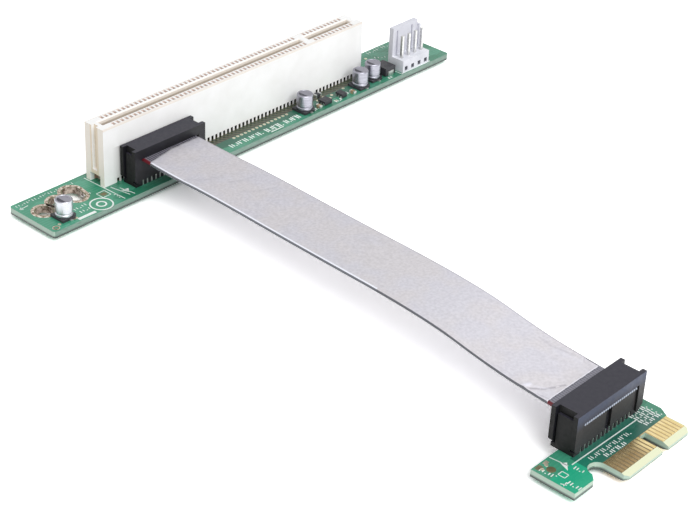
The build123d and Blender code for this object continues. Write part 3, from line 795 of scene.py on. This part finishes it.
def make_sleeve():
    """The foil sleeve: a flat tube with folds and a crumpled end, open at both ends."""
    mesh = bmesh.new()
    valley = mesh.verts.layers.float.new("valley")
    crest = mesh.verts.layers.float.new("crest")
    outline = sleeve_outline()
    frames = between(SLEEVE_END, SLEEVE_START)
    frames.sort(key=lambda frame: -frame[0].y)
    rings, paint = [], []
    for point, across, rise in frames:
        along = point.y
        crumpled = math.exp(-(((along + 53) / 5) ** 2))
        narrowed = 1 - 0.05 * unit((-53.4 - along) / 0.6)
        near_start = max(0.0, 1 - (SLEEVE_START - along) / 9.0)
        near_end = max(0.0, 1 - (along - SLEEVE_END) / 3.0)
        ring, shades = [], []
        for u, h, side in outline:
            down, up = fold_lift(u, along) if side > 0 else (0.0, 0.0)
            wave = 0.05 * noise.noise(Vector((u * 0.10, along * 0.05, side * 3.1)))
            crumple = crumpled * noise.noise(Vector((u * 0.4, along * 0.5, side * 2.0)))
            lift = (max(0.0, wave) + 0.05 * crumple + down + up) * side
            # the cut edge slants at the start and is ragged at both ends
            slant = 1.7 * unit((u + 8.3) / 8.0) + 0.25 * noise.noise(Vector((u * 0.9, 4.0, 0.0)))
            ragged = 0.12 * noise.noise(Vector((u * 1.3, 9.0, 0.0))) * near_end
            slip = Vector((0, near_start * slant + ragged, 0))
            narrow = narrowed if u > 0 else 1.0
            ring.append(point + across * u * narrow + rise * (h + lift) + slip)
            # painted shade along the fold valleys and painted highlight on the crests, for the foil
            # material
            shades.append((min(1.0, max(0.0, -down - FAINT_FOLD) * 10), min(1.0, up * 5)))
        rings.append(ring)
        paint.append(shades)
    # back along the inside, a little smaller
    inner = []
    last = len(frames) - 1
    for n in [*range(last, 0, -4), 0]:
        rise = frames[n][2]
        middle = sum(rings[n], Vector()) / len(rings[n])
        ring = []
        for corner in rings[n]:
            away = corner - middle
            ring.append(middle + away * 0.985 - rise * away.dot(rise) * 0.2)
        inner.append(ring)
        paint.append([(0.0, 0.0)] * len(outline))
    rows = loops(mesh, rings + inner, closed=True)
    for row, shades in zip(rows, paint):
        for vert, (dark, light) in zip(row, shades):
            vert[valley] = dark
            vert[crest] = light
    return piece("foil_sleeve", mesh, foil_look, smooth=True)


ribbon = make_ribbon()
sleeve = make_sleeve()
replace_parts(ribbon, "ribbon_cable")
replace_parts(sleeve, "cable_screen")


# Cut ends of the conductors on the edge connector's near face

CORE_SIDES = 10


def make_conductor_ends():
    mesh = bmesh.new()
    end = LEAD_START + LEAD_RUN * LEAD_ROUTE[-1][0]
    for k in range(CONDUCTORS):
        x = end.x + (k - (CONDUCTORS - 1) / 2) * CONDUCTOR_PITCH
        rings = []
        for radius, depth in ((0.26, -0.1), (0.26, 0.03), (0.2, 0.07), (0.08, 0.09)):
            ring = []
            for step in range(CORE_SIDES):
                angle = 2 * math.pi * step / CORE_SIDES
                right, up = radius * math.cos(angle), radius * math.sin(angle)
                ring.append((x + right, CONNECTOR_FACE - depth, end.z + up))
            rings.append(ring)
        loops(mesh, rings)
    piece("conductor_ends", mesh, end_metal, smooth=True)


make_conductor_ends()


# Cans of the capacitors: a groove above the foot, a rounded rim and a dark mark on top

CANS = ((-59.75, 64.1), (15.1, 63.6), (34.7, 63.25), (40.2, 64.1))
CAN_PROFILE = (
    # foot and groove
    (1.8, 3.2), (1.95, 3.25), (2.0, 3.35), (2.0, 3.72), (1.95, 3.8), (1.83, 3.9), (1.83, 4.0),
    # wall, rim and top
    (1.95, 4.1), (2.0, 4.2), (2.0, 6.8), (1.97, 6.94), (1.88, 7.05), (1.76, 7.1), (1.6, 7.1),
    (1.54, 7.04),
)
MARK_RADIUS = 1.48


def make_cans():
    mesh = bmesh.new()
    for centre in CANS:
        turned(mesh, centre, CAN_PROFILE, 48)
    return piece("can_shells", mesh, aluminium)


def make_can_marks():
    mesh = bmesh.new()
    for x, y in CANS:
        outline = []
        for k in range(15):
            angle = math.radians(180 - 68 + 136 * k / 14)
            outline.append((x + MARK_RADIUS * math.cos(angle), y + MARK_RADIUS * math.sin(angle)))
        slab(mesh, outline, 7.035, 7.06, 0.005)
    piece("can_marks", mesh, print_dark)


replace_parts(make_cans(), "capacitor_cans")
make_can_marks()


# Solder joints: a small cone round each foot under the boards

EDGE_BOARD_BACK = -62.1
SLOT_BOARD_FRONT = 60.3
JOINT_REACH = {
    "slot_contacts_near": 0.5,
    "slot_contacts_far": 0.5,
    "slot_connector_tails": 0.52,
    "edge_connector_tails": 0.52,
    "power_header_pins": 0.95,
}


def make_solder_joints():
    """Only feet below a board get one: a row of tails stands beyond the small board's back edge."""
    mesh = bmesh.new()
    for name, reach in JOINT_REACH.items():
        profile = ((0.16, 0.2), (0.24, 0.3), (reach * 0.55, 0.62), (reach * 0.85, 0.86))
        profile += ((reach, 0.97), (reach, BOARD_UNDER))
        for foot in feet(name):
            if foot.y < EDGE_BOARD_BACK or foot.y > SLOT_BOARD_FRONT:
                turned(mesh, (foot.x, foot.y), profile, 14)
    piece("solder_joints", mesh, solder, smooth=True)


make_solder_joints()


# Gold fingers of the edge tab, on both faces

FINGER_TIP = -74.35
FINGER_ROOT = -70.2


def make_fingers():
    mesh = bmesh.new()
    for x in [-46.1 + k for k in range(11)] + [-33.1 + k for k in range(7)]:
        for low, high in BOTH_FACES:
            bar(mesh, (x, FINGER_TIP), (x, FINGER_ROOT), 0.68, low, high, 0.012)
    piece("edge_fingers", mesh, finger_gold)


make_fingers()


# Plated rings round the holes, and bare pads and vias on the boards

# each hole's centre, half run, radius, and its ring's radius
HOLES = (
    ((-61.3, 69.0), (0, 0), 2.0, 3.0),
    ((-56.5, 70.2), (0, 0), 2.0, 3.0),
    ((-51.9, 70.4), (0.2, 1.2), 2.0, 3.0),
    ((-64.1, 61.6), (0, 0), 0.42, 0.85),
)


def make_hole_rings():
    mesh = bmesh.new()
    for centre, run, inner, outer in HOLES:
        for levels in BOTH_FACES:
            washer(mesh, centre, run, inner + 0.25, outer, levels)
    piece("hole_rings", mesh, ring_metal)


def make_hole_edges():
    mesh = bmesh.new()
    for centre, run, inner, _ in HOLES:
        for levels in BOTH_FACES:
            washer(mesh, centre, run, inner + 0.02, inner + 0.24, levels)
    piece("hole_edges", mesh, pad_brown)


def make_vias():
    mesh = bmesh.new()
    places = [(-7.6 + PIN_PITCH * k, 64.92) for k in range(15)]
    places += [(-62.6 + 1.1 * k, 62.3 + 0.2 * (k % 2)) for k in range(2)]
    places += [(18.6 + 2.4 * k, 64.6 + 0.3 * (k % 3)) for k in range(6)]
    places += [(46.0, 70.2), (47.4, 72.8), (60.8, 64.0), (61.9, 68.6), (62.4, 72.1)]
    places += [(-27.6, -63.4), (-26.9, -64.3), (-54.6, -63.4), (-56.1, -63.6)]
    for place in places:
        for level, lift in ((BOARD_TOP, 0.05), (BOARD_UNDER, -0.05)):
            washer(mesh, place, (0, 0), 0.08, 0.4, (level, level + lift))
    piece("vias", mesh, pad)


def make_bare_pads():
    """Small bare pads: one by the leftmost can, one on the small board, two by the parts."""
    mesh = bmesh.new()
    pads = (
        ((-59.3, 61.9), (-57.9, 61.9), 0.7),
        ((-54.7, -62.9), (-53.5, -62.9), 0.8),
        ((24.4, 61.4), (24.4, 62.1), 0.6),
        ((24.4, 63.4), (24.4, 64.1), 0.6),
    )
    for start, end, width in pads:
        bar(mesh, start, end, width, BOARD_TOP, BOARD_TOP + 0.03)
    piece("bare_pads", mesh, pad)


def make_stained_pads():
    mesh = bmesh.new()
    bar(mesh, (-47.9, 65.75), (-46.4, 65.75), 1.3, BOARD_TOP, BOARD_TOP + 0.015)
    bar(mesh, (-56.9, -62.9), (-55.4, -62.9), 1.0, BOARD_TOP, BOARD_TOP + 0.015)
    washer(mesh, (-55.0, -64.8), (0, 0), 0.05, 0.9, (BOARD_TOP, BOARD_TOP + 0.015))
    piece("stained_pads", mesh, pad_brown)


make_hole_rings()
make_hole_edges()
make_vias()
make_bare_pads()
make_stained_pads()


# Printed marks on both boards: plain bars, rings and dashes

INK = (BOARD_TOP, BOARD_TOP + 0.025)
STEPS = (0.9, 0.5, 0.75, 0.35, 0.85, 0.6, 1.0)


def dashes(mesh, start, run, count, pitch, height=0.9, width=0.2):
    """A row of short upright bars of uneven height, with a low or high dash after every two."""
    start, run = Vector(start), Vector(run).normalized()
    side = Vector((-run.y, run.x))
    for k in range(count):
        place = start + run * pitch * k
        reach = side * height / 2 * (0.6 + 0.4 * STEPS[k % len(STEPS)])
        if k % 3 == 2:
            reach = run * pitch * 0.24
            place += side * height * (0.36 if k % 2 else -0.36)
        bar(mesh, place - reach, place + reach, width, *INK)


def box_outline(mesh, low, high, width=0.16):
    corners = ((low[0], low[1]), (high[0], low[1]), (high[0], high[1]), (low[0], high[1]))
    for start, end in zip(corners, corners[1:] + corners[:1]):
        bar(mesh, start, end, width, *INK)


def make_slot_board_marks():
    mesh = bmesh.new()
    washer(mesh, (-50.35, 62.75), (0, 0), 2.38, 2.74, INK)
    washer(mesh, (-50.35, 62.75), (0, 0), 0.85, 1.25, INK)
    box_outline(mesh, (-48.3, 64.6), (-46.0, 66.9))
    bar(mesh, (-58.3, 61.1), (-53.4, 61.1), 0.85, *INK)
    bar(mesh, (-45.55, 74.3), (-45.0, 61.0), 0.2, *INK)
    dashes(mesh, (-64.6, 74.5), (1, -0.015), 22, 0.74, 0.8, 0.17)
    for end in ((-62.4, 73.2), (-64.1, 73.5), (-64.1, 72.6)):
        bar(mesh, (-64.9, 73.0), end, 0.2, *INK)
    dashes(mesh, (-56.3, 64.9), (1, 0.05), 5, 0.8, 1.0)
    dashes(mesh, (-55.9, 63.2), (1, 0.0), 4, 0.8, 0.9)
    dashes(mesh, (-51.3, 68.2), (1, 0.0), 4, 0.75, 0.8, 0.17)
    bar(mesh, (-44.0, 67.0), (-43.0, 61.6), 0.17, *INK)
    bar(mesh, (-42.7, 65.4), (-41.9, 61.2), 0.17, *INK)
    slab(mesh, [(-43.2, 64.4), (-42.4, 62.6), (-41.4, 64.0)], *INK, 0.01)
    dashes(mesh, (-45.4, 63.9), (0.1, -1), 3, 0.8, 0.8, 0.18)
    dashes(mesh, (-11.0, 62.4), (1, 0.0), 15, 0.72, 1.6, 0.31)
    dashes(mesh, (0.6, 62.3), (1, 0.0), 9, 0.64, 1.9, 0.36)
    dashes(mesh, (7.1, 62.3), (1, 0.0), 8, 0.64, 1.8, 0.36)
    bar(mesh, (1.0, 61.0), (5.2, 61.05), 0.3, *INK)
    dashes(mesh, (16.9, 62.3), (1, 0.0), 3, 0.62, 1.6, 0.34)
    dashes(mesh, (24.0, 61.6), (1, 0.0), 4, 0.62, 1.2, 0.34)
    dashes(mesh, (28.9, 62.9), (1, 0.0), 3, 0.62, 1.4, 0.34)
    dashes(mesh, (43.4, 61.2), (1, 0.0), 2, 0.8, 0.8, 0.4)
    dashes(mesh, (50.1, 74.7), (1, -0.02), 9, 0.9, 1.1)
    dashes(mesh, (49.6, 71.6), (0.8, -0.5), 4, 0.9, 0.9)
    box_outline(mesh, (47.5, 60.6), (58.6, 66.4), 0.18)
    piece("slot_board_marks", mesh, print_white)


def make_edge_board_marks():
    mesh = bmesh.new()
    bar(mesh, (-51.2, -66.6), (-31.7, -66.95), 0.24, *INK)
    bar(mesh, (-52.35, -62.3), (-51.95, -66.3), 0.18, *INK)
    dashes(mesh, (-47.4, -67.85), (1, -0.04), 21, 0.58, 1.05, 0.22)
    dashes(mesh, (-44.6, -69.25), (1, -0.06), 11, 0.56, 1.05, 0.26)
    for row in range(4):
        dashes(mesh, (-31.6 + 0.15 * (row % 2), -65.6 - 1.1 * row), (1, 0.0), 9, 0.6, 1.0, 0.3)
    slab(mesh, [(-52.3, -64.8), (-53.1, -67.1), (-51.3, -65.6)], *INK, 0.01)
    box_outline(mesh, (-55.25, -68.0), (-54.0, -66.5))
    bar(mesh, (-57.1, -68.4), (-56.6, -69.5), 0.2, *INK)
    bar(mesh, (-57.2, -69.2), (-55.9, -69.0), 0.2, *INK)
    dashes(mesh, (-55.75, -69.3), (0.0, -1), 6, 0.62, 1.15, 0.24)
    dashes(mesh, (-51.5, -67.5), (0.1, -1), 4, 0.58, 1.0, 0.22)
    dashes(mesh, (-56.35, -63.4), (0.05, -1), 6, 0.64, 1.0, 0.22)
    piece("edge_board_marks", mesh, print_white)


make_slot_board_marks()
make_edge_board_marks()


# Floor, world, sun and camera

FLOOR_REACH = 6.0
FLOOR_COLOUR = 0.66
FLOOR_SEEN = 1.65  # in camera and glossy rays only
WORLD_STRENGTH = 0.6
WORLD_SEEN = 1.0  # in camera, glossy and transmission rays only
SUN_STRENGTH = 1.95
SUN_SPREAD = 50
SUN_FROM = (-0.2, -0.7, 0.68)
CAMERA_LENS = 94.413
CAMERA_PLACE = (-0.27668, -0.20883, 0.20562)
CAMERA_RIGHT = (0.675895, -0.736013, 0.038094)
CAMERA_UP = (0.36575, 0.379852, 0.84967)


def plain_shader(tree, kind, colour, strength=None):
    """A shader of one grey, with a strength where it has one."""
    shader = tree.nodes.new(kind)
    shader.inputs["Color"].default_value = (colour, colour, colour, 1.0)
    if strength is not None:
        shader.inputs["Strength"].default_value = strength
    return shader


def joined(tree, operation, first, second, clamp=False):
    node = tree.nodes.new("ShaderNodeMath")
    node.operation = operation
    node.use_clamp = clamp
    tree.links.new(first, node.inputs[0])
    tree.links.new(second, node.inputs[1])
    return node.outputs[0]


def shown(tree, output, share, plain, seen):
    """Gives the output a mix of two shaders, the second where the share is 1."""
    mix = tree.nodes.new("ShaderNodeMixShader")
    tree.links.new(share, mix.inputs[0])
    tree.links.new(plain.outputs[0], mix.inputs[1])
    tree.links.new(seen.outputs[0], mix.inputs[2])
    tree.links.new(mix.outputs[0], tree.nodes.new(output).inputs[0])


def make_stage():
    mesh = bmesh.new()
    corners = ((-1, -1), (1, -1), (1, 1), (-1, 1))
    mesh.faces.new([mesh.verts.new((x * FLOOR_REACH, y * FLOOR_REACH, 0.0)) for x, y in corners])
    data = bpy.data.meshes.new("floor")
    mesh.to_mesh(data)
    mesh.free()
    floor = linked("floor", data)
    look = bpy.data.materials.new("floor_white")
    look.use_nodes = True
    tree = look.node_tree
    tree.nodes.clear()
    plain = plain_shader(tree, "ShaderNodeBsdfDiffuse", FLOOR_COLOUR)
    seen = plain_shader(tree, "ShaderNodeBsdfDiffuse", FLOOR_SEEN)
    rays = tree.nodes.new("ShaderNodeLightPath").outputs
    share = joined(tree, "MAXIMUM", rays["Is Camera Ray"], rays["Is Glossy Ray"])
    shown(tree, "ShaderNodeOutputMaterial", share, plain, seen)
    data.materials.append(look)


def make_world():
    world = bpy.data.worlds.new("studio")
    bpy.context.scene.world = world
    world.use_nodes = True
    tree = world.node_tree
    tree.nodes.clear()
    soft = plain_shader(tree, "ShaderNodeBackground", 1.0, WORLD_STRENGTH)
    white = plain_shader(tree, "ShaderNodeBackground", 1.0, WORLD_SEEN)
    rays = tree.nodes.new("ShaderNodeLightPath").outputs
    share = joined(tree, "ADD", rays["Is Camera Ray"], rays["Is Glossy Ray"])
    share = joined(tree, "ADD", share, rays["Is Transmission Ray"], clamp=True)
    shown(tree, "ShaderNodeOutputWorld", share, soft, white)


def make_sun():
    data = bpy.data.lights.new("window", "SUN")
    data.energy = SUN_STRENGTH
    data.angle = math.radians(SUN_SPREAD)
    lamp = linked("window", data)
    lamp.rotation_euler = Vector(SUN_FROM).to_track_quat("Z", "Y").to_euler()


def make_camera():
    """The camera that was fitted to the photo."""
    data = bpy.data.cameras.new("camera")
    data.sensor_width = 36.0
    data.lens = CAMERA_LENS
    data.clip_start = 0.01
    camera = linked("camera", data)
    right, up = Vector(CAMERA_RIGHT), Vector(CAMERA_UP)
    turn = Matrix((right, up, right.cross(up))).transposed().to_4x4()
    camera.matrix_world = Matrix.Translation(CAMERA_PLACE) @ turn
    bpy.context.scene.camera = camera


make_stage()
make_world()
make_sun()
make_camera()
bpy.context.scene.view_settings.view_transform = "Standard"
